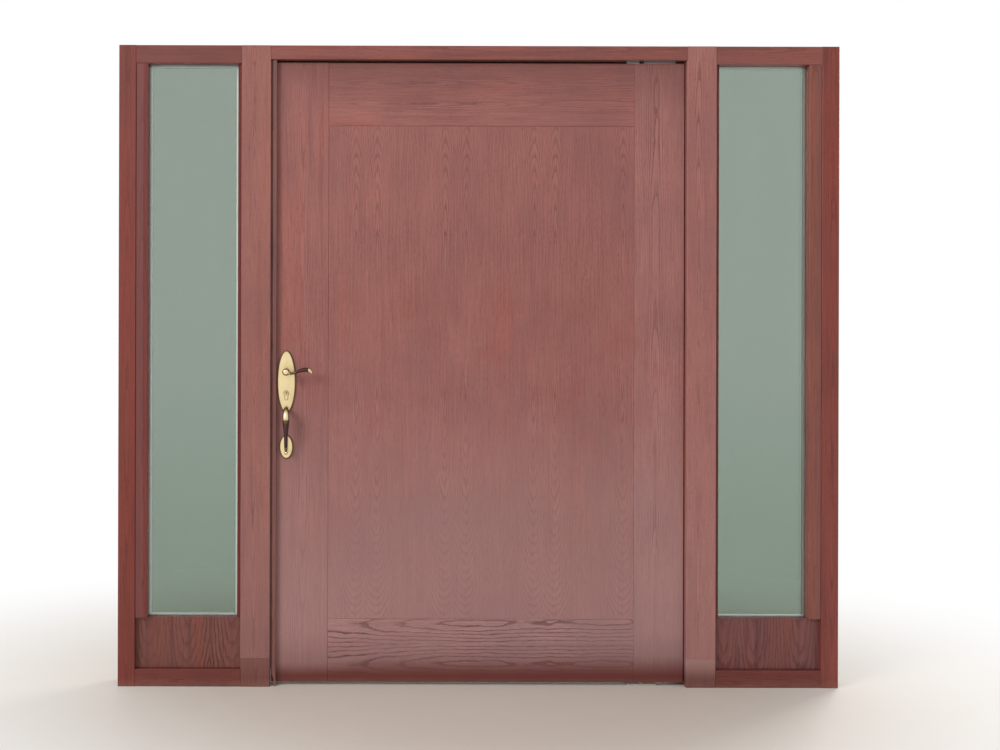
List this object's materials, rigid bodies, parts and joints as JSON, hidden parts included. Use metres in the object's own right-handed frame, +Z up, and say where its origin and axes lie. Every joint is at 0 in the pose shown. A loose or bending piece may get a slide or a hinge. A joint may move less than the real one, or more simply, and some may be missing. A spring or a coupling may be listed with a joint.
{
  "type": "front door with sidelights",
  "caption": "Wide flush-panelled oak front door on inset pivots, between two glazed sidelights in one timber frame, with a lever handle, a curved pull grip and a mortise lock.",
  "frame": {"origin": "floor level, in the middle of the frame's width and depth", "axes": "+X along the wall to the right as seen from outside, +Y in through the doorway, +Z up"},
  "size_m": [2.786, 0.1794, 2.48],
  "materials": {
    "oak_frame": "satin",
    "oak_panel": "satin",
    "oak_leaf": "satin",
    "brass": "polished",
    "grip": "satin",
    "steel": "brushed",
    "aluminium": "satin",
    "glass": "clear",
    "rubber": "matte",
    "brush": "matte"
  },
  "bodies": {
    "frame": {"jamb_left": "oak_frame", "jamb_right": "oak_frame", "mullion_left": "oak_frame", "mullion_right": "oak_frame", "mullion_feet": "oak_frame", "bottom_rail_left": "oak_frame", "bottom_rail_right": "oak_frame", "sidelight_head_left": "oak_frame", "sidelight_head_right": "oak_frame", "sidelight_panel_left": "oak_panel", "sidelight_panel_right": "oak_panel", "sidelight_stile_left": "oak_frame", "sidelight_stile_right": "oak_frame", "outer_beads": "oak_frame", "inner_beads_left": "oak_frame", "inner_beads_right": "oak_frame", "glass_panes_left": "glass", "glass_panes_right": "glass", "glass_spacers": "aluminium", "glazing_rubbers": "rubber", "door_head": "oak_frame", "latch_stop": "oak_frame", "pivot_stop": "oak_frame", "door_seals": "rubber", "strike_plate": "steel", "strike_screws": "steel", "floor_pivot": "steel", "head_pivot": "steel"},
    "leaf": {"latch_stile": "oak_leaf", "pivot_stile": "oak_leaf", "leaf_bottom_rail": "oak_leaf", "leaf_top_rail": "oak_leaf", "centre_panel": "oak_leaf", "seal_channel": "aluminium", "brush_seal": "brush", "pivot_shoe": "steel", "pivot_socket": "steel", "lock_case": "steel", "lock_cover": "steel", "lock_faceplate": "steel", "leaf_screws": "steel", "lock_cylinder": "brass", "escutcheon_outer": "brass", "escutcheon_inner": "brass", "grip_rose": "brass", "grip_elbow": "brass", "pull_grip": "grip", "grip_stud": "brass"},
    "lever_set": {"lever_outer": "brass", "lever_inner": "brass", "lever_grip_outer": "grip", "lever_grip_inner": "grip", "spindle": "steel", "follower": "steel"},
    "latch": {"latch_bolt": "steel"},
    "bolt": {"deadbolt": "steel"},
    "lock_core": {"thumb_turn": "brass", "lock_cam": "brass", "key_plug": "brass"}
  },
  "joints": [
    {"name": "leaf_swing", "type": "hinge", "parent": "frame", "child": "leaf", "pos_m": [0.641, 0, 0], "axis": [0, 0, -1], "range_deg": [0, 90]},
    {"name": "lever_turn", "type": "hinge", "parent": "leaf", "child": "lever_set", "pos_m": [-0.744, 0, 1.218], "axis": [0, 1, 0], "range_deg": [0, 45], "stiffness_Nm_per_rad": 1.5, "springref_deg": -28.65},
    {"name": "latch_slide", "type": "slide", "parent": "leaf", "child": "latch", "axis": [1, 0, 0], "range_m": [0, 0.012]},
    {"name": "thumb_turn", "type": "hinge", "parent": "leaf", "child": "lock_core", "pos_m": [-0.744, 0, 1.133], "axis": [0, 1, 0], "range_deg": [0, 360]},
    {"name": "deadbolt_slide", "type": "slide", "parent": "leaf", "child": "bolt", "axis": [-1, 0, 0], "range_m": [0, 0.02]}
  ],
  "couplings": [
    {"joint": "latch_slide", "follows": "lever_turn", "m_per_rad": 0.01527},
    {"joint": "thumb_turn", "follows": "deadbolt_slide", "rad_per_m": 314.16}
  ]
}
